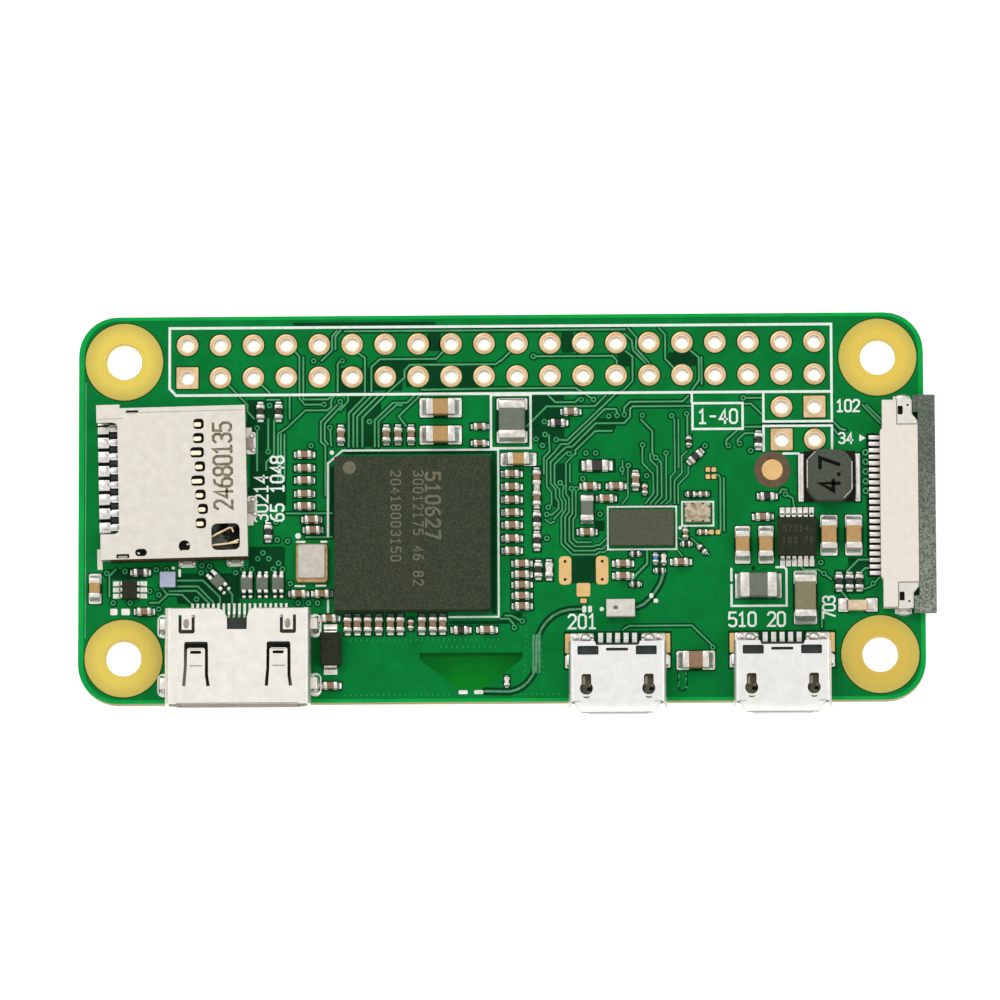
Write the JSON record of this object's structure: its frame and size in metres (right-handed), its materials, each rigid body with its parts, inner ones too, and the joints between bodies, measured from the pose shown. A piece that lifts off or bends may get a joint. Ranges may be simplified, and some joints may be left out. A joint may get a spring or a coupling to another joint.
{
  "type": "single board computer",
  "caption": "Small bare single board computer with stacked processor and memory, card socket, mini video socket, micro data sockets, header holes and a camera cable connector.",
  "frame": {"origin": "middle of the mounting-hole rectangle, on the underside of the board", "axes": "+X along the long side toward the camera connector, +Y toward the header holes, +Z out of the component side"},
  "size_m": [0.0658, 0.0312, 0.0045],
  "materials": {
    "solder_mask": "green solder mask over glass-epoxy laminate, semi-gloss",
    "package_black": "fine-grained moulding compound, matt",
    "package_grey": "olive-grey moulding compound, satin",
    "die_violet": "bare silicon die, violet-grey sheen",
    "ceramic_white": "fired white ceramic",
    "ceramic_dark": "dark fired ceramic",
    "ceramic_tan": "tan capacitor ceramic, satin",
    "ceramic_olive": "olive-brown capacitor ceramic, satin",
    "ferrite": "dark grey ferrite, matt and slightly grainy",
    "tin_plate": "bright tin-plated pressed sheet, satin",
    "gold_plate": "thin gold plating on spring bronze",
    "solder": "bright solder-tinned metal",
    "plastic_dark": "dark heat-resistant moulding",
    "plastic_cream": "cream heat-resistant moulding",
    "plastic_grey": "mottled grey heat-resistant moulding",
    "led_cream": "cream diffusing resin"
  },
  "bodies": {
    "board": {"circuit_board": "solder_mask", "processor_package": "package_black", "memory_package": "package_black", "power_regulator_chip": "package_black", "level_shifter_chip": "package_black", "wireless_chip": "package_grey", "load_switch_chip": "die_violet", "antenna_filter": "ceramic_white", "main_crystal_base": "ceramic_dark", "main_crystal_lid": "tin_plate", "wireless_crystal": "tin_plate", "power_inductor_base": "ceramic_dark", "power_inductor_core": "ferrite", "power_inductor_terminal_left": "solder", "power_inductor_terminal_right": "solder", "core_supply_inductor": "ferrite", "input_filter_inductor": "ferrite", "radio_choke": "ferrite", "bulk_capacitor_1": "ceramic_tan", "bulk_capacitor_2": "ceramic_tan", "core_capacitor": "ceramic_tan", "regulator_capacitor_1": "ceramic_tan", "regulator_capacitor_2": "ceramic_tan", "regulator_capacitor_3": "ceramic_tan", "regulator_capacitor_4": "ceramic_tan", "input_capacitor": "ceramic_olive", "socket_capacitor": "ceramic_olive", "card_capacitor": "ceramic_tan", "protection_diode": "plastic_dark", "activity_led": "led_cream", "filter_array_1": "ceramic_dark", "filter_array_2": "ceramic_dark", "filter_array_3": "ceramic_dark", "card_socket_cover": "tin_plate", "card_socket_base": "plastic_dark", "card_detect_contact": "gold_plate", "video_socket_shell": "tin_plate", "video_socket_insulator": "plastic_dark", "video_socket_contacts": "solder", "usb_data_shell": "tin_plate", "usb_data_insulator": "plastic_dark", "usb_data_contacts": "solder", "usb_power_shell": "tin_plate", "usb_power_insulator": "plastic_dark", "usb_power_contacts": "solder", "camera_connector_housing": "plastic_cream", "camera_hold_down_upper": "tin_plate", "camera_hold_down_lower": "tin_plate", "camera_connector_contacts": "solder", "card_contact_1": "gold_plate", "card_contact_2": "gold_plate", "card_contact_3": "gold_plate", "card_contact_4": "gold_plate", "card_contact_5": "gold_plate", "card_contact_6": "gold_plate", "card_contact_7": "gold_plate", "card_contact_8": "gold_plate"},
    "camera_slider": {"camera_slider": "plastic_grey"},
    "card_detect_blade": {"card_detect_blade": "gold_plate"}
  },
  "joints": [
    {"name": "camera_slider_slide", "type": "slide", "parent": "board", "child": "camera_slider", "axis": [1, 0, 0], "range_m": [0, 0.001]},
    {"name": "card_detect_hinge", "type": "hinge", "parent": "board", "child": "card_detect_blade", "pos_m": [-0.02295, -0.00258, 0.0021], "axis": [0, 0, 1], "range_deg": [-12, 0], "stiffness_Nm_per_rad": 0.0001, "springref_deg": 2.86}
  ]
}
